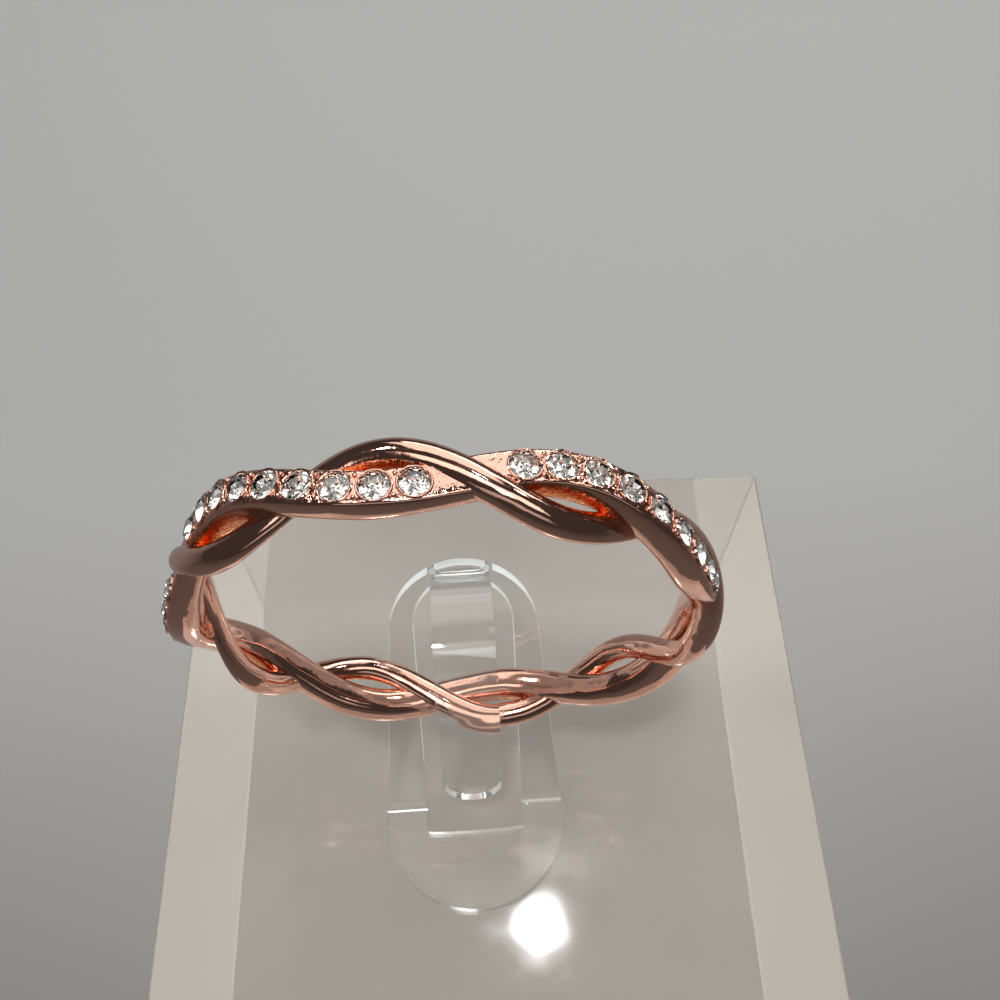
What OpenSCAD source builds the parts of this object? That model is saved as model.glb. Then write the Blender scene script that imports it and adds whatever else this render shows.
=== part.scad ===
// Twist ring on a clear clip stand, in millimetres.
// +Z is up and the front of the stand faces -Y. The origin is under the middle of the block.
// Angles round the ring start at its top and grow towards +X.

/* [Ring] */
// Inside diameter, where the finger goes
finger_d = 17.2; // [16:0.1:18.5]
// Turns that each strand makes on its way round the finger
twist_turns = 5; // [4:1:6]
// How far the middle set stretch is turned away from the top
ring_spin = -29.5; // [-45:0.5:45]

/* [Set strand] */
// Width of the set strand across its run
set_w = 1.24; // [1.1:0.02:1.4]
// Thickness of the set strand from finger to stones
set_t = 1.26; // [1.1:0.02:1.4]
// Height of its centre line over the finger, on average
set_lift = 0.63; // [0.5:0.01:0.75]
// How far the twist carries it in and out
set_swing_r = 0.25; // [0.2:0.01:0.35]
// How far the twist carries it to the front and back
set_swing_y = 0.55; // [0.45:0.01:0.7]

/* [Plain strand] */
// Width of the plain strand across its run
plain_w = 1.0; // [0.9:0.02:1.3]
// Thickness of the plain strand
plain_t = 0.98; // [0.8:0.02:1.2]
// Height of its centre line over the finger, on average
plain_lift = 0.43; // [0.35:0.01:0.55]
// How far the twist carries it in and out
plain_swing_r = 0.36; // [0.3:0.01:0.45]
// How far the twist carries it to the front and back
plain_swing_y = 0.94; // [0.8:0.01:1.05]

/* [Stones] */
// Diameter of a stone at its girdle
stone_d = 0.92; // [0.8:0.02:1]
// Stones on each set stretch
stones_per_stretch = 9; // [5:2:9]
// Angle round the ring from one stone to the next
stone_pitch = 6.65; // [6.2:0.05:6.8]
// Stretches that are set with stones, the others are plain
set_stretches = 3; // [1:2:3]

/* [Clip] */
// Thickness of the clip's strip
strip_t = 0.8; // [0.6:0.05:1]
// Width of the foot and of the leaf at the bend
strip_w = 8.3; // [7.5:0.1:9]
// Width of the leaf at its round top
leaf_top_w = 6.7; // [6:0.1:7.4]
// Length of the leaf from the bend to its top
leaf_len = 11.95; // [11:0.1:12.5]
// Slope of the leaf from level
leaf_slope = 49; // [47:1:50]
// Width of the slot that the tongue springs out of
slot_w = 4.5; // [4:0.1:5]
// Width of the tongue
tongue_w = 2.6; // [2:0.1:3]

/* [Block] */
// Width and depth of the block
block_w = 31; // [28:0.5:36]
// Height of the block
block_h = 25; // [15:1:40]

/* [Hidden] */
finger_r = finger_d / 2;
steps = 116;
stretch_angle = 360 / twist_turns;
stone_count = set_stretches * stones_per_stretch;
plain_inset = 0.03;

// Outline of each strand's section: first column across its width, second from finger (-1) to top (1)
set_section = [
    [-0.76, 1], [-0.98, 0.78], [-1.03, 0], [-0.95, -0.75], [-0.6, -1],
    [0.6, -1], [0.95, -0.75], [1.03, 0], [0.98, 0.78], [0.76, 1]
];
plain_section = [for (a = [18:36:342]) [-sin(a), cos(a) * 1.04]];

// Where the stones sit against the strand's top
stone_r = stone_d / 2;
girdle_h = 0.05;
crown_h = 0.15;
pavilion_h = 0.36;
table_r = 0.55 * stone_r;
girdle_lift = -0.03;
seat_gap = 0.035;
seat_depth = 0.42;
seat_tip_r = 0.06;
seat_wall = 0.03;
bead_r = 0.085;
bead_reach = 0.26;

// Where the ring and the clip stand over the block
ring_x = -1.5;
ring_y = 0.45;
ring_turn = -2.1;
clip_x = -1.0;
clip_turn = 2.3;
clip_gap = 0.04;
ring_height = 16;
bend_r = 0.5;
bend_y = -3.38;
foot_straight = 0.35;
slot_front = 0.9;
leaf_bar = 0.65;
leaf_straight = 0.4;
arc_steps = 14;
tongue_t = 0.7;
tongue_r = 3.57;
tongue_y = 1.82;
tongue_z = -8.7;
tongue_root = 35;
tongue_lean = 17.2;
tongue_drop = 5.6;

function stone_name(i) = str("stone_", i < 9 ? "0" : "", i + 1);

// Phase of the set strand: 0 where it lies on top, 180 where the plain strand covers it
function phase(angle) = twist_turns * (angle - ring_spin);
function set_centre_r(angle) = finger_r + set_lift + set_swing_r * cos(phase(angle));
function set_centre_y(angle) = -set_swing_y * sin(phase(angle));
function plain_centre_r(angle) = finger_r + plain_lift - plain_swing_r * cos(phase(angle));
function plain_centre_y(angle) = plain_swing_y * sin(phase(angle));

// A strand that crosses the ring at a slant is wider when it is cut straight across
function slant(angle, swing) =
    sqrt(1 + pow(swing * twist_turns * cos(phase(angle)) / (finger_r + set_lift), 2));

function ring_point(angle, r, y) = [r * sin(angle), y, r * cos(angle)];

// One section of a strand, cut flat where it would reach further in than inner_r
function section_points(angle, section, centre_r, centre_y, half_w, half_t, inner_r) =
    let (top = centre_r + half_t, low = max(inner_r, centre_r - half_t))
    [for (p = section)
        ring_point(angle, (top + low) / 2 + p[1] * (top - low) / 2, centre_y + p[0] * half_w)];

function set_points(angle) = section_points(
    angle, set_section, set_centre_r(angle), set_centre_y(angle),
    set_w / 2 * slant(angle, set_swing_y), set_t / 2, finger_r);
function plain_points(angle) = section_points(
    angle, plain_section, plain_centre_r(angle), plain_centre_y(angle),
    plain_w / 2 * slant(angle, plain_swing_y), plain_t / 2, finger_r + plain_inset);

// A closed loop skinned over sections that stand in order round the ring
module closed_loop(sections) {
    n = len(sections);
    m = len(sections[0]);
    polyhedron(
        points = [for (s = sections) each s],
        faces = [for (i = [0:n - 1], j = [0:m - 1])
            let (a = i * m + j, b = i * m + (j + 1) % m,
                 c = (i + 1) % n * m + (j + 1) % m, d = (i + 1) % n * m + j)
            each [[a, c, b], [a, d, c]]],
        convexity = 12);
}

module set_strand() {
    closed_loop([for (i = [0:steps - 1]) set_points(i * 360 / steps)]);
}

// Its sections stand halfway between those of the set strand, so that no two edges meet in one plane
module plain_strand() {
    closed_loop([for (i = [0:steps - 1]) plain_points((i + 0.5) * 360 / steps)]);
}

// Angle of a stone round the ring, counted stretch by stretch from the left
function stone_angle(i) =
    let (stretch = floor(i / stones_per_stretch), place = i % stones_per_stretch)
    ring_spin + (stretch - (set_stretches - 1) / 2) * stretch_angle
        + (place - (stones_per_stretch - 1) / 2) * stone_pitch;

// Moves its children onto the top of the set strand, facing outwards
module on_set_strand(angle) {
    rise = atan(-set_swing_r * twist_turns * sin(phase(angle)) / (finger_r + set_lift));
    translate(ring_point(angle, set_centre_r(angle) + set_t / 2, set_centre_y(angle)))
        rotate([0, angle - rise, 0])
            children();
}

// Round stone, with its girdle just under the top of the strand
module stone_body() {
    translate([0, 0, girdle_lift])
        rotate_extrude($fn = 32)
            polygon([
                [0, -pavilion_h], [stone_r, 0], [stone_r, girdle_h],
                [table_r, girdle_h + crown_h], [0, girdle_h + crown_h]
            ]);
}

// Drilled seat, a cone under a straight wall, a little larger than the stone
module stone_seat() {
    seat_r = stone_r + seat_gap;
    translate([0, 0, girdle_lift - seat_depth])
        cylinder(h = seat_depth, r1 = seat_tip_r, r2 = seat_r, $fn = 12);
    translate([0, 0, girdle_lift - seat_wall])
        cylinder(h = seat_wall + girdle_h + crown_h, r = seat_r, $fn = 12);
}

// Low bar of metal that is raised between two stones
module bead() {
    hull()
        for (side = [-1, 1])
            translate([0, side * bead_reach, 0])
                sphere(bead_r, $fn = 6);
}

// Sets the ring upright over the block, where the clip holds it
module place_ring() {
    translate([ring_x, ring_y, block_h + ring_height])
        rotate([0, 0, ring_turn])
            children();
}

module band() {
    color("#b76e5b")
        place_ring() {
            difference() {
                union() {
                    set_strand();
                    plain_strand();
                }
                for (i = [0:stone_count - 1])
                    on_set_strand(stone_angle(i))
                        stone_seat();
            }
            for (i = [0:stone_count - 1])
                if (i % stones_per_stretch > 0)
                    on_set_strand(stone_angle(i) - stone_pitch / 2)
                        bead();
        }
}

module stone(i) {
    color("#eef3f6")
        place_ring()
            on_set_strand(stone_angle(i))
                stone_body();
}

// Points on an arc, from one angle to another
function arc(centre, r, from, to) =
    [for (k = [0:arc_steps]) let (a = from + (to - from) * k / arc_steps)
        centre + r * [cos(a), sin(a)]];

// Turns a shape drawn in side view, front to back along x and height along y, to stand across the clip
module stand_across(width) {
    translate([-width / 2, 0, 0])
        rotate([90, 0, 90])
            linear_extrude(width)
                children();
}

// What comes off a strip that runs towards +y so that it ends in a half circle round the origin
module round_off(width, end_width) {
    difference() {
        translate([-width / 2 - 1, 0])
            square([width + 2, end_width / 2 + 1]);
        circle(d = end_width, $fn = 96);
    }
}

// Foot, bend and leaf as one strip of even thickness, seen from the side: the bend starts at x = 0
module strip_side() {
    centre = [0, strip_t + bend_r];
    run = leaf_len + 0.5;
    along = run * [cos(leaf_slope), sin(leaf_slope)];
    outer = arc(centre, strip_t + bend_r, -90, leaf_slope - 90);
    inner = arc(centre, bend_r, leaf_slope - 90, -90);
    front = -foot_straight - strip_w / 2 - 0.5;
    polygon(concat(
        [[front, 0]], outer, [outer[arc_steps] + along, inner[0] + along], inner, [[front, strip_t]]));
}

// The tongue seen from the side: an arch from the top of the leaf over the shank, then a straight run down
module tongue_side() {
    end = 180 - tongue_lean;
    run = (tongue_drop + 0.5) * [-sin(end), cos(end)];
    outer = arc([tongue_y, tongue_z], tongue_r + tongue_t / 2, tongue_root, end);
    inner = arc([tongue_y, tongue_z], tongue_r - tongue_t / 2, end, tongue_root);
    polygon(concat(outer, [outer[arc_steps] + run, inner[0] + run], inner));
}

// Lays a flat cut over the leaf, with y = 0 where the bend ends
module over_leaf() {
    translate([0, 0, strip_t + bend_r])
        rotate([leaf_slope, 0, 0])
            translate([0, 0, -strip_t - bend_r - 1])
                linear_extrude(strip_t + 2)
                    children();
}

// The strip with its round ends
module foot_and_leaf_outline() {
    top_y = leaf_len - leaf_top_w / 2;
    difference() {
        stand_across(strip_w)
            strip_side();
        translate([0, -foot_straight, -1])
            rotate([0, 0, 180])
                linear_extrude(strip_t + 2)
                    round_off(strip_w, strip_w);
        over_leaf()
            translate([0, top_y])
                round_off(strip_w, leaf_top_w);
        for (side = [-1, 1])
            over_leaf()
                polygon([
                    [side * strip_w / 2, leaf_straight], [side * leaf_top_w / 2, top_y],
                    [side * leaf_top_w / 2, top_y + 0.5], [side * (strip_w / 2 + 1), top_y + 0.5],
                    [side * (strip_w / 2 + 1), leaf_straight]
                ]);
    }
}

// The slot that the tongue was bent out of, through the leaf and the bend into the foot
module foot_and_leaf() {
    slot_top = leaf_len - leaf_bar - slot_w / 2;
    difference() {
        foot_and_leaf_outline();
        union() {
            translate([-slot_w / 2, -slot_front, -1])
                cube([slot_w, slot_front + 1.2, strip_t + 3]);
            over_leaf()
                translate([-slot_w / 2, 0.2])
                    square([slot_w, slot_top - 0.2]);
            over_leaf()
                translate([0, slot_top])
                    circle(d = slot_w, $fn = 96);
        }
    }
}

module tongue() {
    end = 180 - tongue_lean;
    difference() {
        stand_across(tongue_w)
            tongue_side();
        translate([0, tongue_y, tongue_z])
            rotate([end, 0, 0])
                translate([0, tongue_r - tongue_t / 2 - 1, tongue_drop - tongue_w / 2])
                    rotate([-90, 0, 0])
                        mirror([0, 1, 0])
                            linear_extrude(tongue_t + 2)
                                round_off(tongue_w, tongue_w);
    }
}

module ring_clip() {
    color("#dfe7e6", 0.4)
        translate([clip_x, ring_y, block_h + clip_gap])
            rotate([0, 0, clip_turn]) {
                translate([0, bend_y, 0])
                    foot_and_leaf();
                translate([0, 0, ring_height - clip_gap])
                    tongue();
            }
}

module riser_block() {
    color("#e9f0ee", 0.4)
        translate([-block_w / 2, -block_w / 2, 0])
            cube([block_w, block_w, block_h]);
}

band();
ring_clip();
riser_block();
for (i = [0:stone_count - 1])
    stone(i);
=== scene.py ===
"""Twist ring on a clear clip stand: the looks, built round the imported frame.

Pieces are modelled in millimetres and brought to metres by settle(). Angles round the ring start
at its top and grow towards +X, and ring coordinates have their origin in the middle of the finger
hole. The clip's coordinates start on the block's top.
"""

import math

import bmesh
import bpy
from mathutils import Matrix, Vector


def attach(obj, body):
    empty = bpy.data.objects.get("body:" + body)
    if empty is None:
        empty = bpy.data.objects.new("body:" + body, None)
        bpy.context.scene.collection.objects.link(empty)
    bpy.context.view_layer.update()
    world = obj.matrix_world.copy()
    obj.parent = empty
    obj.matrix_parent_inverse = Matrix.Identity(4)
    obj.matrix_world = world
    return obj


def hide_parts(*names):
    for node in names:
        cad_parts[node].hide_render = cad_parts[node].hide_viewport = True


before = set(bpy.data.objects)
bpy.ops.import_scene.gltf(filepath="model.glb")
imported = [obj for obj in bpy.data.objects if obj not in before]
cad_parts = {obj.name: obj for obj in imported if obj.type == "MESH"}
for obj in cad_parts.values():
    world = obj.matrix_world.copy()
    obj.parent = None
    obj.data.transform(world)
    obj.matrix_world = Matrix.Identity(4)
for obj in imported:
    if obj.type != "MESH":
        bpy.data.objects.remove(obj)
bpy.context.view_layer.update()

# Ring: each strand has a width, a thickness, a lift over the finger hole and a swing both ways
FINGER_R = 8.6
TURNS = 5
SPIN = -29.5
STATIONS = 120
SET_W, SET_T, SET_LIFT = 1.24, 1.26, 0.63
SET_SWING_R, SET_SWING_Y = 0.25, 0.55
PLAIN_W, PLAIN_T, PLAIN_LIFT = 1.0, 0.98, 0.43
PLAIN_SWING_R, PLAIN_SWING_Y = 0.36, 0.94
PLAIN_BULGE_W, PLAIN_BULGE_T = 1.07, 1.09

# Stones
STONE_R = 0.46
STONE_PITCH = 6.65
STONES_PER_STRETCH = 9
STRETCHES = 3
STONE_TURN = 37
GIRDLE_LIFT = -0.03
GIRDLE_H = 0.05
GIRDLE_CORNERS = 32
MAIN_FACETS = 8
CROWN_H = 0.15
STAR_SHARE_R, STAR_SHARE_H = 0.80, 0.56
TABLE_SHARE_R = 0.56
PAVILION_H = 0.36

# Seats, with a raised rim round each and two beads between neighbours
SEAT_R = 0.495
SEAT_WALL = 0.04
SEAT_DEPTH = 0.42
SEAT_TIP_SHARE = 0.14
SEAT_MARGIN, SEAT_LOW, SEAT_HIGH = 0.012, -0.6, -0.02
DRILL_H = 0.5
RIM_OUT, RIM_R = 0.018, 0.042
BEAD_R, BEAD_SIDE, BEAD_SINK = 0.085, 0.36, 0.005

# Where the metal is painted a darker copper, as shade and light bounced between the strands, and
# not on the finger side
RECESS_REACH, RECESS_FADE = 1.25, 0.45
BORE_MARGIN_ABOVE, BORE_MARGIN_BELOW, BORE_FADE = 0.1, 0.42, 0.25
UPPER_ARC = math.radians(100)

# The set strand's flat top, which sparkles: how near a point is to it, and how far it reaches
CUT_TOP_NEAR, CUT_TOP_SHARE = 0.08, 0.42
STEEP = 0.9

# Clip
STRIP_T = 0.8
STRIP_W, FOOT_STRAIGHT = 8.3, 0.35
BEND_R, BEND_Y = 0.5, -3.38
LEAF_SLOPE = math.radians(49)
LEAF_LEN, LEAF_TOP_W = 11.95, 6.7
LEAF_BAR = 0.65
SLOT_W, SLOT_FRONT, SLOT_BULGE = 4.5, 0.9, 0.12
TONGUE_W, TONGUE_T, TONGUE_R = 2.6, 0.7, 3.57
TONGUE_Y, TONGUE_Z = 1.82, -8.7
TONGUE_ROOT, TONGUE_LEAN, TONGUE_DROP = 35.0, 17.2, 5.6
CLIP_BEVEL = 0.2

# Where the clip's faces are told apart: tongue, cut edge and broad side
TONGUE_MARGIN, TONGUE_FRONT_Y, TONGUE_END_Z = 0.1, 1.8, 3
LEAF_EDGE_Z = 2
SIDEWAYS, BROADSIDE = 0.6, 0.8

# Block, and the places of ring and clip over it
BLOCK_W, BLOCK_H = 31.0, 25.0
BLOCK_BEVEL = 0.15
CLIP_GAP = 0.04
RING_HEIGHT = 16
RING_X, RING_Y, RING_TURN = -1.5, 0.45, -2.1
CLIP_X, CLIP_TURN = -1.0, 2.3

BEND_LEN = LEAF_SLOPE * (BEND_R + STRIP_T / 2)
TONGUE_CENTRE_Z = TONGUE_Z + RING_HEIGHT - CLIP_GAP
RING_PLACE = (
    Matrix.Translation((RING_X, RING_Y, BLOCK_H + RING_HEIGHT))
    @ Matrix.Rotation(math.radians(RING_TURN), 4, "Z"))
CLIP_PLACE = (
    Matrix.Translation((CLIP_X, RING_Y, BLOCK_H + CLIP_GAP))
    @ Matrix.Rotation(math.radians(CLIP_TURN), 4, "Z"))

# Camera, in metres and degrees
CAMERA_PLACE = (-0.000091, -0.015424, 0.076021)
CAMERA_TILT, CAMERA_TURN = 30.30, -1.856
CAMERA_LENS = 37.8


# Modelling helpers
def deselect():
    if bpy.context.object and bpy.context.object.mode != "OBJECT":
        bpy.ops.object.mode_set(mode="OBJECT")
    bpy.ops.object.select_all(action="DESELECT")


def named(name):
    """Names the object that the last operator made."""
    piece = bpy.context.object
    piece.name = name
    piece.data.name = name
    return piece


def pick(piece):
    deselect()
    piece.select_set(True)
    bpy.context.view_layer.objects.active = piece
    return piece


def edit_all(piece):
    """Opens a piece for editing with its whole mesh selected."""
    pick(piece)
    bpy.ops.object.mode_set(mode="EDIT")
    bpy.ops.mesh.select_all(action="SELECT")


def apply_modifier(piece, kind, name, **settings):
    pick(piece)
    bpy.ops.object.modifier_add(type=kind)
    modifier = piece.modifiers[-1]
    modifier.name = name
    for key, value in settings.items():
        setattr(modifier, key, value)
    bpy.ops.object.modifier_apply(modifier=modifier.name)
    return piece


def cut_with(piece, tool, operation):
    """Boolean with another piece, which is used up."""
    apply_modifier(
        piece, "BOOLEAN", operation.lower(), operation=operation, object=tool, solver="EXACT")
    bpy.data.objects.remove(tool, do_unlink=True)
    return piece


def joined(pieces, name):
    deselect()
    for piece in pieces:
        piece.select_set(True)
    bpy.context.view_layer.objects.active = pieces[0]
    if len(pieces) > 1:
        bpy.ops.object.join()
    return named(name)


def copy_of(piece, place):
    """A copy with its own mesh, put in place."""
    twin = piece.copy()
    twin.data = piece.data.copy()
    twin.data.transform(place)
    bpy.context.collection.objects.link(twin)
    return twin


def facing_up(sheet):
    """Turns a flat sheet over where its faces point down."""
    bm = bmesh.new()
    bm.from_mesh(sheet.data)
    if sum(face.normal.z for face in bm.faces) < 0:
        bmesh.ops.reverse_faces(bm, faces=bm.faces)
    bm.to_mesh(sheet.data)
    bm.free()


def settle(piece, place):
    """Brings a finished piece from millimetres to metres, with its place in its mesh."""
    piece.data.transform(Matrix.Scale(0.001, 4) @ place)
    piece.data.update()
    return piece


def shade(piece, angle):
    pick(piece)
    bpy.ops.object.shade_smooth_by_angle(angle=math.radians(angle))
    return apply_modifier(piece, "WEIGHTED_NORMAL", "true_flats", keep_sharp=True, weight=100)


def share(value):
    """Keeps a number between 0 and 1."""
    return min(1, max(0, value))


# The twist
def phase(angle):
    return TURNS * (angle - math.radians(SPIN))


def set_centre(angle):
    lean = phase(angle)
    return FINGER_R + SET_LIFT + SET_SWING_R * math.cos(lean), -SET_SWING_Y * math.sin(lean)


def plain_centre(angle):
    lean = phase(angle)
    return FINGER_R + PLAIN_LIFT - PLAIN_SWING_R * math.cos(lean), PLAIN_SWING_Y * math.sin(lean)


STRANDS = ((set_centre, SET_W / 2, SET_T / 2), (plain_centre, PLAIN_W / 2, PLAIN_T / 2))


def slant(angle, swing):
    """A strand that crosses at a slant is wider where it is cut straight across."""
    return math.sqrt(1 + (swing * TURNS * math.cos(phase(angle)) / (FINGER_R + SET_LIFT)) ** 2)


# Outline of each strand, from the middle of its outer side towards +y: across, then outwards
SET_OUTLINE = [
    (0, 1), (0.80, 1), (0.98, 0.84), (1.12, 0.12), (0.98, -0.60), (0.55, -1.02),
    (0, -1.04), (-0.55, -1.02), (-0.98, -0.60), (-1.12, 0.12), (-0.98, 0.84), (-0.80, 1),
]
PLAIN_OUTLINE = [
    (PLAIN_BULGE_W * math.sin(math.radians(a)), PLAIN_BULGE_T * math.cos(math.radians(a)))
    for a in range(0, 360, 30)
]


def strand(name, outline, centre, half_w, half_t, swing, shift):
    """A ring-shaped bar that is moved, station by station, onto its own turn of the twist."""
    deselect()
    bar_r = FINGER_R + 1
    bpy.ops.mesh.primitive_torus_add(
        major_segments=STATIONS, minor_segments=len(outline), major_radius=bar_r, minor_radius=0.5)
    piece = named(name)
    for v in piece.data.vertices:
        angle = math.atan2(v.co.x, v.co.y) + shift * math.tau / STATIONS
        around = math.atan2(v.co.z, math.hypot(v.co.x, v.co.y) - bar_r)
        across, out = outline[round(around / math.tau * len(outline)) % len(outline)]
        r, y = centre(angle)
        low = max(FINGER_R, r - half_t)
        top = r + half_t
        r = (top + low) / 2 + out * (top - low) / 2
        y += across * half_w * slant(angle, swing)
        v.co = (r * math.sin(angle), y, r * math.cos(angle))
    edit_all(piece)
    bpy.ops.mesh.normals_make_consistent(inside=False)
    bpy.ops.object.mode_set(mode="OBJECT")
    return apply_modifier(piece, "SUBSURF", "round", levels=2, render_levels=2)


def on_set_strand(angle):
    """Place on top of the set strand, with z outwards and x along it."""
    r, y = set_centre(angle)
    rise = math.atan(-SET_SWING_R * TURNS * math.sin(phase(angle)) / (FINGER_R + SET_LIFT))
    spot = Vector(((r + SET_T / 2) * math.sin(angle), y, (r + SET_T / 2) * math.cos(angle)))
    return Matrix.Translation(spot) @ Matrix.Rotation(angle - rise, 4, "Y")


def stone_angles():
    for stretch in range(STRETCHES):
        for place in range(STONES_PER_STRETCH):
            yield math.radians(
                SPIN + (stretch - (STRETCHES - 1) / 2) * 360 / TURNS
                + (place - (STONES_PER_STRETCH - 1) / 2) * STONE_PITCH)


def between_strands(angle, spot, normal):
    """How far a point faces the strand that it isn't on: 0 in the open, 1 inside an eye, where the
    copper shade is painted.
    """
    ways = []
    for centre, half_w, half_t in STRANDS:
        way = Vector(centre(angle)) - spot
        ways.append((math.hypot(way.y / half_w, way.x / half_t), way))
    other = max(ways, key=lambda way: way[0])[1]
    near = share((RECESS_REACH - other.length) / RECESS_FADE)
    facing = share((normal.dot(other.normalized()) - 0.2) * 2)
    margin = BORE_MARGIN_ABOVE if abs(angle) < UPPER_ARC else BORE_MARGIN_BELOW
    clear_of_bore = share((spot.x - FINGER_R - margin) / BORE_FADE)
    return near * facing * clear_of_bore


def inside_seat(local):
    """Whether a point, in a seat's own coordinates, lies on the seat's wall or cone."""
    within = math.hypot(local.x, local.y) < SEAT_R + SEAT_MARGIN
    return within and SEAT_LOW < local.z < SEAT_HIGH


def on_cut_top(angle, spot, normal):
    """Whether a point lies on the set strand's flat top."""
    r, y = set_centre(angle)
    level = abs(spot.x - r - SET_T / 2) < CUT_TOP_NEAR
    in_width = abs(spot.y - y) < SET_W * CUT_TOP_SHARE
    return level and in_width and normal.x > STEEP


def mark_shade_and_finish(band):
    """Stores where the metal lies deep, for its painted copper shade and rougher finish, and where
    it was cut, for its sparkle.
    """
    seats = [on_set_strand(a).inverted() for a in stone_angles()]
    mesh = band.data
    for name in ("recess_painted_shade", "cut_top"):
        mesh.attributes.new(name, "FLOAT", "POINT")
    depth = mesh.attributes["recess_painted_shade"]
    sparkle = mesh.attributes["cut_top"]
    for v in mesh.vertices:
        angle = math.atan2(v.co.x, v.co.z)
        spot = Vector((math.hypot(v.co.x, v.co.z), v.co.y))
        outward = v.normal.x * math.sin(angle) + v.normal.z * math.cos(angle)
        normal = Vector((outward, v.normal.y))
        # Seat walls and the eyes between strands get the painted copper shade
        seated = any(inside_seat(seat @ v.co) for seat in seats)
        depth.data[v.index].value = 1 if seated else between_strands(angle, spot, normal)
        sparkle.data[v.index].value = 1 if on_cut_top(angle, spot, normal) else 0


def seat_drill():
    """Drill for one seat: a cone under a short straight wall."""
    deselect()
    bpy.ops.mesh.primitive_cylinder_add(
        vertices=40, radius=SEAT_R, depth=DRILL_H,
        location=(0, 0, GIRDLE_LIFT - SEAT_WALL + DRILL_H / 2))
    drill = named("seat_drill")
    bpy.ops.object.transform_apply(location=True, rotation=False, scale=False)
    bm = bmesh.new()
    bm.from_mesh(drill.data)
    floor = [f for f in bm.faces if f.normal.z < -STEEP]
    ring = bmesh.ops.extrude_face_region(bm, geom=floor)["geom"]
    tip = [v for v in ring if isinstance(v, bmesh.types.BMVert)]
    for v in tip:
        v.co = Vector((v.co.x * SEAT_TIP_SHARE, v.co.y * SEAT_TIP_SHARE, GIRDLE_LIFT - SEAT_DEPTH))
    bmesh.ops.delete(bm, geom=floor, context="FACES_ONLY")
    bmesh.ops.recalc_face_normals(bm, faces=bm.faces)
    bm.to_mesh(drill.data)
    bm.free()
    return drill


def seat_rims(angles):
    """A thin raised ring round each seat."""
    deselect()
    bpy.ops.mesh.primitive_torus_add(
        major_segments=46, minor_segments=10, major_radius=SEAT_R + RIM_OUT, minor_radius=RIM_R)
    rim = named("seat_rim")
    rims = [copy_of(rim, on_set_strand(a)) for a in angles]
    bpy.data.objects.remove(rim, do_unlink=True)
    return rims


def seat_beads(angles):
    """Two beads in each gap between neighbouring stones of one stretch."""
    deselect()
    bpy.ops.mesh.primitive_uv_sphere_add(segments=16, ring_count=10, radius=BEAD_R)
    bead = named("seat_bead")
    beads = []
    for i, a in enumerate(angles):
        if i % STONES_PER_STRETCH == 0:
            continue
        between = on_set_strand(a - math.radians(STONE_PITCH / 2))
        for side in (-1, 1):
            corner = Matrix.Translation((0, side * BEAD_SIDE, -BEAD_SINK))
            beads.append(copy_of(bead, between @ corner))
    bpy.data.objects.remove(bead, do_unlink=True)
    return beads


def build_band():
    over = strand("set_strand", SET_OUTLINE, set_centre, SET_W / 2, SET_T / 2, SET_SWING_Y, 0)
    under = strand(
        "plain_strand", PLAIN_OUTLINE, plain_centre, PLAIN_W / 2, PLAIN_T / 2, PLAIN_SWING_Y, 0.5)
    band = cut_with(over, under, "UNION")
    angles = list(stone_angles())
    drill = seat_drill()
    drills = joined([copy_of(drill, on_set_strand(a)) for a in angles], "seat_drills")
    bpy.data.objects.remove(drill, do_unlink=True)
    band = cut_with(band, drills, "DIFFERENCE")
    rims = seat_rims(angles)
    beads = seat_beads(angles)
    band = cut_with(band, joined(beads, "seat_beads"), "UNION")
    return cut_with(band, joined(rims, "seat_rims"), "UNION")


def build_brilliant():
    """Round brilliant with its girdle at z = 0, from the corners of its facets."""
    deselect()
    bpy.ops.mesh.primitive_circle_add(vertices=GIRDLE_CORNERS, radius=STONE_R, location=(0, 0, 0))
    stone = named("brilliant")
    facet = math.tau / MAIN_FACETS
    for v in stone.data.vertices:
        off_middle = (math.atan2(v.co.y, v.co.x) + facet / 2) % facet - facet / 2
        v.co.z = -PAVILION_H * (1 - math.cos(off_middle))
    bm = bmesh.new()
    bm.from_mesh(stone.data)

    def corners(count, r, z, turn):
        for k in range(count):
            a = (k + turn) * math.tau / count
            bm.verts.new((r * math.cos(a), r * math.sin(a), z))

    corners(GIRDLE_CORNERS, STONE_R, GIRDLE_H, 0)
    corners(MAIN_FACETS, STONE_R * STAR_SHARE_R, GIRDLE_H + CROWN_H * STAR_SHARE_H, 0.5)
    corners(MAIN_FACETS, STONE_R * TABLE_SHARE_R, GIRDLE_H + CROWN_H, 0)
    bm.verts.new((0, 0, -PAVILION_H))
    bm.to_mesh(stone.data)
    bm.free()
    edit_all(stone)
    bpy.ops.mesh.convex_hull()
    bpy.ops.object.mode_set(mode="OBJECT")
    return stone


# Clip and block shapes
def fold_leaf(co):
    """Moves a point of the flat strip onto the bent one: y runs over the bend and up the leaf."""
    x, y, z = co
    if y <= 0:
        return co
    turn = LEAF_SLOPE * min(1, y / BEND_LEN)
    r = STRIP_T + BEND_R - z
    past = max(0, y - BEND_LEN)
    return Vector((
        x,
        r * math.sin(turn) + past * math.cos(turn),
        STRIP_T + BEND_R - r * math.cos(turn) + past * math.sin(turn)))


def capsule(name, front_r, front_y, back_r, back_y, vertices):
    """A closed outline with a half circle at each end."""
    deselect()
    bpy.ops.mesh.primitive_circle_add(
        vertices=vertices, radius=1, rotation=(0, 0, math.pi / vertices))
    loop = named(name)
    bpy.ops.object.transform_apply(location=False, rotation=True, scale=False)
    for v in loop.data.vertices:
        if v.co.y < 0:
            v.co = (v.co.x * front_r, v.co.y * front_r + front_y, 0)
        else:
            v.co = (v.co.x * back_r, v.co.y * back_r + back_y, 0)
    return loop


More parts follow.
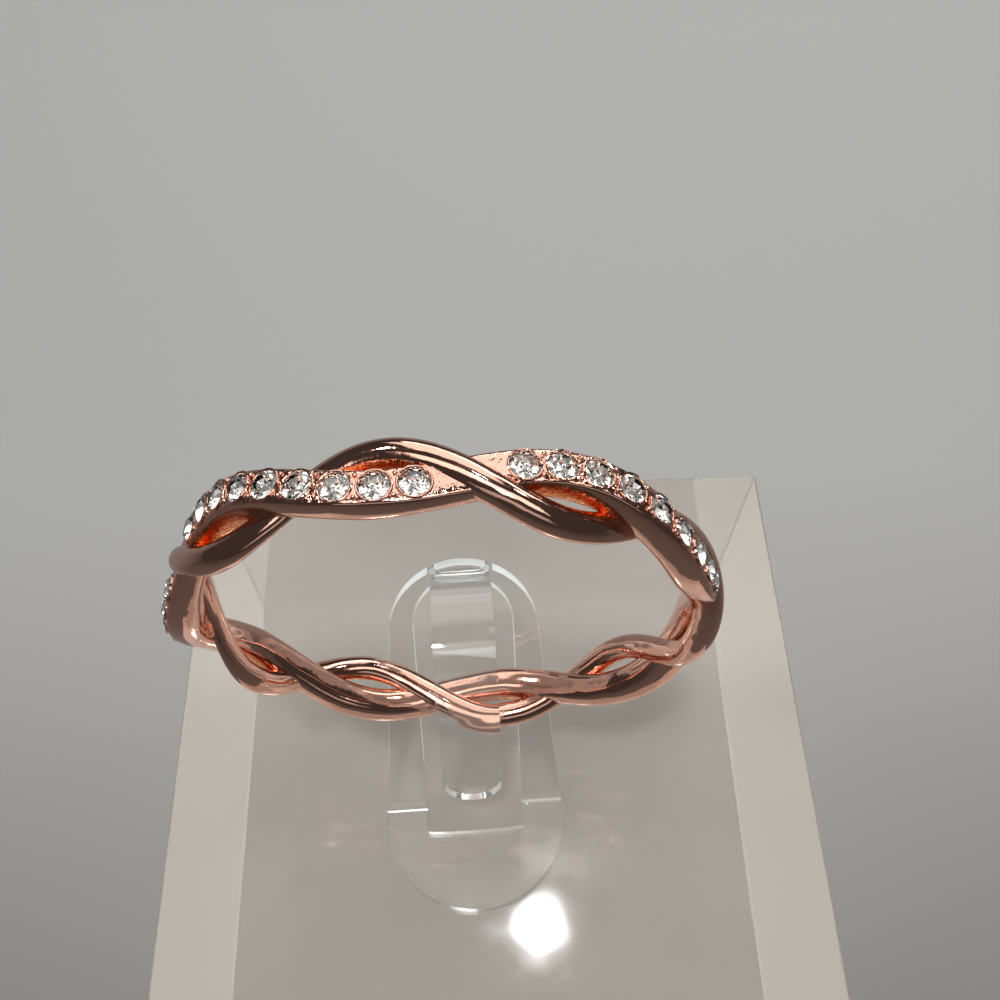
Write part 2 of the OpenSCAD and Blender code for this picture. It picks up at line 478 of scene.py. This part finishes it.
def build_strip():
    """The clip's foot and leaf: one slotted strip, bent where the leaf begins."""
    leaf_end = BEND_LEN + LEAF_LEN
    outer = capsule(
        "clip_outline", STRIP_W / 2, -FOOT_STRAIGHT, LEAF_TOP_W / 2, leaf_end - LEAF_TOP_W / 2, 64)
    slot_r = SLOT_W / 2
    slot = capsule("clip_slot", slot_r, -SLOT_FRONT, slot_r, leaf_end - LEAF_BAR - slot_r, 64)
    for v in slot.data.vertices:
        if v.co.y < -0.5:
            v.co.y = -SLOT_FRONT - SLOT_BULGE * math.sqrt(max(0, 1 - (v.co.x / slot_r) ** 2))
    strip = joined([outer, slot], "ring_clip_strip")
    edit_all(strip)
    bpy.ops.mesh.bridge_edge_loops()
    in_bend = [BEND_LEN * k / 10 for k in range(11)]
    up_leaf = [BEND_LEN + 1.0 + k for k in range(7)]
    for y in in_bend + up_leaf:
        bpy.ops.mesh.select_all(action="SELECT")
        bpy.ops.mesh.bisect(plane_co=(0, y, 0), plane_no=(0, 1, 0))
    bpy.ops.mesh.select_all(action="SELECT")
    bpy.ops.mesh.normals_make_consistent(inside=False)
    bpy.ops.object.mode_set(mode="OBJECT")
    facing_up(strip)
    apply_modifier(strip, "SOLIDIFY", "thickness", thickness=STRIP_T, offset=1)
    for v in strip.data.vertices:
        v.co = fold_leaf(v.co)
    strip.data.transform(Matrix.Translation((0, BEND_Y, 0)))
    return strip


def build_tongue():
    """A flat bar with one round end, curled over the shank."""
    root = math.radians(TONGUE_ROOT)
    end = math.radians(180 - TONGUE_LEAN)
    arch = (end - root) * TONGUE_R
    total = arch + TONGUE_DROP
    tongue = capsule("clip_tongue", TONGUE_W / 2, 0, TONGUE_W / 2, total - TONGUE_W / 2, 32)
    for v in tongue.data.vertices:
        if v.co.y < 0.1:
            v.co.y = 0
    edit_all(tongue)
    bpy.ops.mesh.remove_doubles(threshold=0.001)
    bpy.ops.mesh.edge_face_add()
    for k in range(1, 33):
        bpy.ops.mesh.select_all(action="SELECT")
        bpy.ops.mesh.bisect(plane_co=(0, arch * k / 32, 0), plane_no=(0, 1, 0))
    bpy.ops.object.mode_set(mode="OBJECT")
    facing_up(tongue)
    apply_modifier(tongue, "SOLIDIFY", "thickness", thickness=TONGUE_T, offset=0)
    for v in tongue.data.vertices:
        x, along, off_middle = v.co
        turn = root + min(along, arch) / TONGUE_R
        past = max(0, along - arch)
        r = TONGUE_R + off_middle
        v.co = (
            x,
            TONGUE_Y + r * math.cos(turn) - past * math.sin(turn),
            TONGUE_CENTRE_Z + r * math.sin(turn) + past * math.cos(turn))
    return tongue


def build_clip():
    clip = cut_with(build_strip(), build_tongue(), "UNION")
    apply_modifier(
        clip, "BEVEL", "soft_edges", width=CLIP_BEVEL, segments=4, limit_method="ANGLE",
        angle_limit=math.radians(40), harden_normals=False)
    return shade(clip, 30)


def on_tongue(face):
    """Whether a face of the clip lies on its tongue."""
    x, y, z = face.center
    in_width = abs(x) < TONGUE_W / 2 + TONGUE_MARGIN
    off_foot = z > STRIP_T + 2 * TONGUE_MARGIN
    before_leaf = y < TONGUE_FRONT_Y
    reach = math.hypot(y - TONGUE_Y, z - TONGUE_CENTRE_Z)
    on_arch = reach < TONGUE_R + TONGUE_T / 2 + 0.03
    return in_width and off_foot and (before_leaf or on_arch)


def on_cut_edge(face):
    """Whether a face of the clip lies on its cut edge and not on a broad side."""
    y, z = face.center.y, face.center.z
    if on_tongue(face):
        at_end = z < TONGUE_END_Z and face.normal.z < -SIDEWAYS
        return abs(face.normal.x) > SIDEWAYS or at_end
    turn = min(LEAF_SLOPE, max(0, math.atan2(y - BEND_Y, STRIP_T + BEND_R - z)))
    broad = Vector((0, -math.sin(turn), math.cos(turn)))
    return abs(face.normal.dot(broad)) < BROADSIDE


def on_leaf_edge(face):
    """Whether a face lies on the cut edge of the leaf, over the bend."""
    return on_cut_edge(face) and not on_tongue(face) and face.center.z >= LEAF_EDGE_Z


def build_block():
    deselect()
    bpy.ops.mesh.primitive_cube_add(
        size=1, location=(0, 0, BLOCK_H / 2), scale=(BLOCK_W, BLOCK_W, BLOCK_H))
    block = named("riser_block_clear")
    bpy.ops.object.transform_apply(location=True, rotation=True, scale=True)
    apply_modifier(block, "BEVEL", "eased_edges", width=BLOCK_BEVEL, segments=3)
    return shade(block, 40)


# Shader helpers
def new_material(name):
    mat = bpy.data.materials.new(name)
    mat.use_nodes = True
    tree = mat.node_tree
    return mat, tree.nodes, tree.links, tree.nodes["Principled BSDF"]


def object_noise(nodes, links, scale, detail, roughness=0.5):
    where = nodes.new("ShaderNodeTexCoord")
    noise = nodes.new("ShaderNodeTexNoise")
    noise.inputs["Scale"].default_value = scale
    noise.inputs["Detail"].default_value = detail
    noise.inputs["Roughness"].default_value = roughness
    links.new(where.outputs["Object"], noise.inputs["Vector"])
    return noise.outputs["Fac"]


def ramp(nodes, links, source, stops):
    """Colours or grey levels by place on the source."""
    node = nodes.new("ShaderNodeValToRGB")
    elements = node.color_ramp.elements
    while len(elements) < len(stops):
        elements.new(0.5)
    for element, (at, colour) in zip(elements, stops):
        grey = isinstance(colour, (int, float))
        element.position = at
        element.color = (colour, colour, colour, 1) if grey else (*colour, 1)
    links.new(source, node.inputs["Fac"])
    return node.outputs["Color"]


def spread(nodes, links, source, low, high, least=0.0):
    """Goes from the least level to 1 as the source goes from low to high."""
    node = nodes.new("ShaderNodeMapRange")
    node.inputs["From Min"].default_value = low
    node.inputs["From Max"].default_value = high
    node.inputs["To Min"].default_value = least
    links.new(source, node.inputs["Value"])
    return node.outputs["Result"]


def blend(nodes, links, factor, first, second):
    node = nodes.new("ShaderNodeMix")
    node.data_type = "RGBA"
    links.new(factor, node.inputs[0])
    links.new(first, node.inputs[6])
    links.new(second, node.inputs[7])
    return node.outputs[2]


def calc(nodes, links, operation, *values):
    node = nodes.new("ShaderNodeMath")
    node.operation = operation
    for socket, value in zip(node.inputs, values):
        if isinstance(value, float):
            socket.default_value = value
        else:
            links.new(value, socket)
    return node.outputs[0]


def mix_shaders(nodes, links, factor, first, second):
    node = nodes.new("ShaderNodeMixShader")
    links.new(factor, node.inputs[0])
    links.new(first, node.inputs[1])
    links.new(second, node.inputs[2])
    return node.outputs[0]


def attribute(nodes, name):
    node = nodes.new("ShaderNodeAttribute")
    node.attribute_name = name
    return node.outputs["Fac"]


def bump(nodes, links, source, strength, distance, under=None):
    """Bumps over an earlier bump, as strong as a number or an attribute says."""
    node = nodes.new("ShaderNodeBump")
    if isinstance(strength, float):
        node.inputs["Strength"].default_value = strength
    else:
        links.new(strength, node.inputs["Strength"])
    node.inputs["Distance"].default_value = distance
    links.new(source, node.inputs["Height"])
    if under:
        links.new(under, node.inputs["Normal"])
    return node.outputs["Normal"]


# Materials
def rose_gold():
    """Polished rose gold; rough deep between the strands and in the seats, with a painted copper
    tone there for shade and bounced light; sparkling where it was cut.
    """
    rose = [(0.3, (0.88, 0.49, 0.38)), (0.7, (0.94, 0.55, 0.43))]
    copper = [(0.3, (0.80, 0.17, 0.04)), (0.7, (1.0, 0.46, 0.15))]
    polished, rough = [(0.35, 0.04), (0.75, 0.13)], [(0.3, 0.2), (0.7, 0.38)]
    mat, nodes, links, metal = new_material("polished_rose_gold")
    metal.inputs["Metallic"].default_value = 1
    grain = object_noise(nodes, links, 5200, 3)
    depth = attribute(nodes, "recess_painted_shade")
    open_tone = ramp(nodes, links, object_noise(nodes, links, 420, 3), rose)
    painted_recess_shade = ramp(nodes, links, grain, copper)
    # Painted shade: the metal turns dark copper where the recess mask is high, standing in for
    # shade and light bounced between the strands
    links.new(blend(nodes, links, depth, open_tone, painted_recess_shade), metal.inputs["Base Color"])
    open_finish = ramp(nodes, links, object_noise(nodes, links, 1600, 5), polished)
    deep_finish = ramp(nodes, links, grain, rough)
    links.new(blend(nodes, links, depth, open_finish, deep_finish), metal.inputs["Roughness"])
    cuts = object_noise(nodes, links, 4200, 2)
    waves = bump(nodes, links, object_noise(nodes, links, 380, 2), 0.5, 0.0002)
    sparkle = bump(nodes, links, cuts, attribute(nodes, "cut_top"), 0.00005, waves)
    cast = bump(nodes, links, object_noise(nodes, links, 1100, 3), 0.4, 0.00005, sparkle)
    glitter = bump(nodes, links, grain, depth, 0.00006, cast)
    links.new(glitter, metal.inputs["Normal"])
    return mat


def lets_lamps_through(nodes, links, shader, tint):
    """Light from the lamps passes straight through, so that what is under clear plastic is lit."""
    clear = nodes.new("ShaderNodeBsdfTransparent")
    clear.inputs["Color"].default_value = (tint, tint, tint, 1)
    path = nodes.new("ShaderNodeLightPath")
    surface = mix_shaders(
        nodes, links, path.outputs["Is Shadow Ray"], shader.outputs[0], clear.outputs[0])
    links.new(surface, nodes["Material Output"].inputs["Surface"])


def clear_plastic(name, milky, tint, shadow, haze):
    """Acrylic: how milky it is, its tint, the light it lets through and its least roughness."""
    mat, nodes, links, plastic = new_material(name)
    plastic.inputs["Base Color"].default_value = (*tint, 1)
    plastic.inputs["Transmission Weight"].default_value = 1 - milky
    plastic.inputs["IOR"].default_value = 1.49
    scuffs = object_noise(nodes, links, 700, 6, 0.7)
    finish = ramp(nodes, links, scuffs, [(0.5, haze), (0.8, haze + 0.09)])
    links.new(finish, plastic.inputs["Roughness"])
    waves = object_noise(nodes, links, 160, 2)
    links.new(bump(nodes, links, waves, 0.15, 0.0001), plastic.inputs["Normal"])
    lets_lamps_through(nodes, links, plastic, shadow)
    return mat


def painted_glow(mat, colour, strength):
    """Painted glow: emission that stands in for the light acrylic carries to its cut edges."""
    plastic = mat.node_tree.nodes["Principled BSDF"]
    plastic.inputs["Emission Color"].default_value = (*colour, 1)
    plastic.inputs["Emission Strength"].default_value = strength
    mat.cycles.emission_sampling = "NONE"
    return mat


def sawn_side():
    # Frosted sawn sides, with a painted glow
    side = clear_plastic("sawn_block_side_painted_glow", 0.6, (0.92, 0.90, 0.86), 0.85, 0.1)
    return painted_glow(side, (1, 0.96, 0.9), 0.26)


def leaf_edge():
    # Frosted leaf edge, with a painted glow
    edge = clear_plastic("leaf_edge_painted_glow", 0.5, (0.96, 0.975, 0.97), 0.6, 0.05)
    return painted_glow(edge, (0.96, 1, 1), 0.2)


def silvered_back():
    mat, nodes, links, foil = new_material("silvered_stone_back")
    foil.inputs["Metallic"].default_value = 1
    silver = [(0.3, (0.95, 0.935, 0.91)), (0.7, (1.0, 0.98, 0.95))]
    tarnish = ramp(nodes, links, object_noise(nodes, links, 2500, 2), silver)
    links.new(tarnish, foil.inputs["Base Color"])
    foil.inputs["Roughness"].default_value = 0.03
    return mat


def clear_stone():
    mat, nodes, links, stone = new_material("clear_brilliant")
    stone.inputs["Base Color"].default_value = (1, 1, 1, 1)
    stone.inputs["Transmission Weight"].default_value = 1
    stone.inputs["IOR"].default_value = 1.75
    polish = object_noise(nodes, links, 3000, 2)
    links.new(ramp(nodes, links, polish, [(0.4, 0.0), (0.8, 0.03)]), stone.inputs["Roughness"])
    lets_lamps_through(nodes, links, stone, 0.85)
    return mat


def give(piece, mat):
    piece.data.materials.clear()
    piece.data.materials.append(mat)
    for face in piece.data.polygons:
        face.material_index = 0


def give_some(piece, mat, chosen):
    """One more material, for the faces that a rule chooses."""
    piece.data.materials.append(mat)
    for face in piece.data.polygons:
        if chosen(face):
            face.material_index = len(piece.data.materials) - 1


# Pieces
def place_band():
    band = build_band()
    shade(band, 35)
    mark_shade_and_finish(band)
    band.name = "twist_band"
    band.data.name = "twist_band"
    give(band, rose_gold())
    settle(band, RING_PLACE)
    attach(band, "root")
    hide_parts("band")


def place_stones():
    glass = clear_stone()
    foil = silvered_back()
    brilliant = build_brilliant()
    for i, a in enumerate(stone_angles()):
        spot = on_set_strand(a)
        out = spot.to_3x3() @ Vector((0, 0, 1))
        turn = Matrix.Rotation(math.radians(i * STONE_TURN % 45), 4, "Z")
        stone = copy_of(brilliant, spot @ Matrix.Translation((0, 0, GIRDLE_LIFT)) @ turn)
        stone.name = f"brilliant_{i + 1:02d}"
        stone.data.name = stone.name
        give(stone, glass)
        give_some(stone, foil, lambda face: face.normal.dot(out) < -0.1)
        settle(stone, RING_PLACE)
        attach(stone, "root")
        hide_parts(f"stone_{i + 1:02d}")
    bpy.data.objects.remove(brilliant, do_unlink=True)


def place_clip():
    clip = build_clip()
    clip.name = "clip_clear"
    clip.data.name = "clip_clear"
    give(clip, clear_plastic("clear_clip_plastic", 0.03, (0.925, 0.93, 0.915), 0.4, 0.015))
    edge = clear_plastic("cut_clip_edge", 0.5, (0.96, 0.975, 0.97), 0.6, 0.05)
    give_some(clip, edge, on_cut_edge)
    give_some(clip, leaf_edge(), on_leaf_edge)
    settle(clip, CLIP_PLACE)
    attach(clip, "root")
    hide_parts("ring_clip")


def place_block():
    block = build_block()
    give(block, clear_plastic("clear_block_plastic", 0.38, (0.575, 0.54, 0.495), 0.85, 0.055))
    give_some(block, sawn_side(), lambda face: abs(face.normal.x) > STEEP)
    settle(block, Matrix.Identity(4))
    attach(block, "root")
    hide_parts("riser_block")


# Stage, light and camera
def pale_floor():
    """A floor with painted shade: darkest near the block, and painted darker again where it is
    seen through plastic and in metal.
    """
    # Painted shade: the floor's tone falls off towards the block and under it
    back = [
        (0.485, (0.222, 0.216, 0.207)), (0.50, (0.292, 0.286, 0.275)),
        (0.52, (0.405, 0.402, 0.389)), (0.53, (0.445, 0.445, 0.432)),
        (0.59, (0.475, 0.477, 0.463)), (0.9, (0.5, 0.5, 0.5)),
    ]
    front = [
        (0.2, (0.85, 0.85, 0.83)), (0.36, (0.6, 0.597, 0.58)),
        (0.43, (0.42, 0.417, 0.405)), (0.47, (0.26, 0.255, 0.245)),
    ]
    painted_dark_front = [(0.40, (0.19, 0.186, 0.178))]
    shade_under_plastic, shade_in_metal = 0.93, 0.5
    just_under = -0.00002
    deselect()
    bpy.ops.mesh.primitive_plane_add(size=4, location=(0, 0, just_under))
    floor = named("floor")
    mat, nodes, links, paint = new_material("pale_floor")
    where = nodes.new("ShaderNodeTexCoord")
    split = nodes.new("ShaderNodeSeparateXYZ")
    links.new(where.outputs["Object"], split.inputs[0])
    away = spread(nodes, links, split.outputs["Y"], -0.5, 0.5)

    def painted_shade_floor(strength):
        stops = [(at, [c * strength for c in tone]) for at, tone in painted_dark_front + back]
        return ramp(nodes, links, away, stops)

    path = nodes.new("ShaderNodeLightPath")
    bare = ramp(nodes, links, away, front + back)
    # Painted shade in reflections and through plastic: darker copies of the floor's tone
    reflected = blend(nodes, links, path.outputs["Is Glossy Ray"], bare, painted_shade_floor(shade_in_metal))
    tone = blend(
        nodes, links, path.outputs["Is Transmission Ray"], reflected, painted_shade_floor(shade_under_plastic))
    links.new(tone, paint.inputs["Base Color"])
    paint.inputs["Roughness"].default_value = 0.6
    give(floor, mat)


def studio_sky():
    """A graded dome, bright panels for what is polished, and a grey backdrop for the camera."""
    dome = [
        (0.0, (0.07, 0.07, 0.08)), (0.35, (0.08, 0.08, 0.09)),
        (0.65, (0.22, 0.22, 0.23)), (0.88, (0.75, 0.74, 0.72)),
    ]
    world = bpy.data.worlds.new("studio")
    bpy.context.scene.world = world
    world.use_nodes = True
    nodes, links = world.node_tree.nodes, world.node_tree.links
    way = nodes.new("ShaderNodeTexCoord")
    split = nodes.new("ShaderNodeSeparateXYZ")
    links.new(way.outputs["Generated"], split.inputs[0])
    sky = nodes["Background"]
    links.new(ramp(nodes, links, split.outputs["Z"], dome), sky.inputs["Color"])
    links.new(spread(nodes, links, split.outputs["Y"], -0.75, 0.1, 0.25), sky.inputs["Strength"])

    def along(axis, stops):
        """Level by how far a direction leans along one axis, from -1 to 1."""
        lean = spread(nodes, links, split.outputs[axis], -1, 1)
        return ramp(nodes, links, lean, [((at + 1) / 2, level) for at, level in stops])

    def product(first, second):
        return calc(nodes, links, "MULTIPLY", first, second)

    def total(first, second):
        return calc(nodes, links, "ADD", first, second)

    def panel(y_stops, half_w, level):
        """A bright panel overhead, as polished surfaces see it."""
        soft = half_w + 0.06
        across = along("X", [(-soft, 0), (-half_w, 1), (half_w, 1), (soft, 0)])
        high = along("Z", [(0.2, 0), (0.45, 1)])
        return product(product(across, high), product(along("Y", y_stops), level))

    near_panel = panel([(-0.42, 0), (-0.36, 1), (-0.08, 1), (-0.03, 0)], 0.65, 1.6)
    far_panel = panel([(0.32, 0), (0.37, 1), (0.80, 1), (0.86, 0)], 0.42, 1.3)
    low_panel = panel([(-0.90, 0), (-0.86, 1), (-0.75, 1), (-0.70, 0)], 0.5, 0.5)
    panels = total(total(near_panel, far_panel), low_panel)
    path = nodes.new("ShaderNodeLightPath")
    plain = calc(nodes, links, "MULTIPLY_ADD", path.outputs["Is Transmission Ray"], 0.2, 0.045)
    mirror_sky = nodes.new("ShaderNodeBackground")
    mirror_sky.inputs["Color"].default_value = (1, 0.975, 0.95, 1)
    links.new(total(panels, plain), mirror_sky.inputs["Strength"])
    backdrop = nodes.new("ShaderNodeBackground")
    backdrop.inputs["Color"].default_value = (0.24, 0.245, 0.25, 1)
    lit = mix_shaders(
        nodes, links, path.outputs["Is Glossy Ray"], sky.outputs[0], mirror_sky.outputs[0])
    seen = mix_shaders(nodes, links, path.outputs["Is Camera Ray"], lit, backdrop.outputs[0])
    links.new(seen, nodes["World Output"].inputs["Surface"])


def softbox(name, place, size, power, shape="SQUARE", height=0):
    """A lamp that points at the ring's lower part."""
    light = bpy.data.lights.new(name, "AREA")
    light.shape = shape
    light.size = size
    light.size_y = height
    light.energy = power
    lamp = bpy.data.objects.new(name, light)
    bpy.context.collection.objects.link(lamp)
    lamp.location = place
    aim = Vector((0, 0, 0.035)) - Vector(place)
    lamp.rotation_euler = aim.to_track_quat("-Z", "Y").to_euler()


def lamps():
    softbox("key_lamp", (-0.025, -0.06, 0.36), 0.036, 0.40, shape="DISK")
    softbox("back_strip", (0.08, 0.27, 0.19), 0.4, 0.20, shape="RECTANGLE", height=0.08)
    softbox("front_softbox", (0.05, -0.13, 0.36), 0.10, 0.07)
    softbox("spot_lamp", (0.014, 0.036, 0.33), 0.015, 0.04, shape="DISK")
    softbox("spot_halo", (0.0143, 0.0368, 0.337), 0.020, 0.004, shape="DISK")
    softbox("right_lamp", (0.16, 0.10, 0.22), 0.03, 0.05, shape="DISK")
    softbox("left_lamp", (-0.18, 0.09, 0.24), 0.03, 0.05, shape="DISK")


def photo_camera():
    camera = bpy.data.objects.new("camera", bpy.data.cameras.new("camera"))
    bpy.context.collection.objects.link(camera)
    camera.data.sensor_width = 36
    camera.data.lens = CAMERA_LENS
    camera.data.clip_start = 0.001
    camera.location = CAMERA_PLACE
    camera.rotation_euler = (math.radians(CAMERA_TILT), 0, math.radians(CAMERA_TURN))
    bpy.context.scene.camera = camera
    bpy.context.scene.view_settings.view_transform = "Standard"


place_band()
place_stones()
place_clip()
place_block()
pale_floor()
studio_sky()
lamps()
photo_camera()
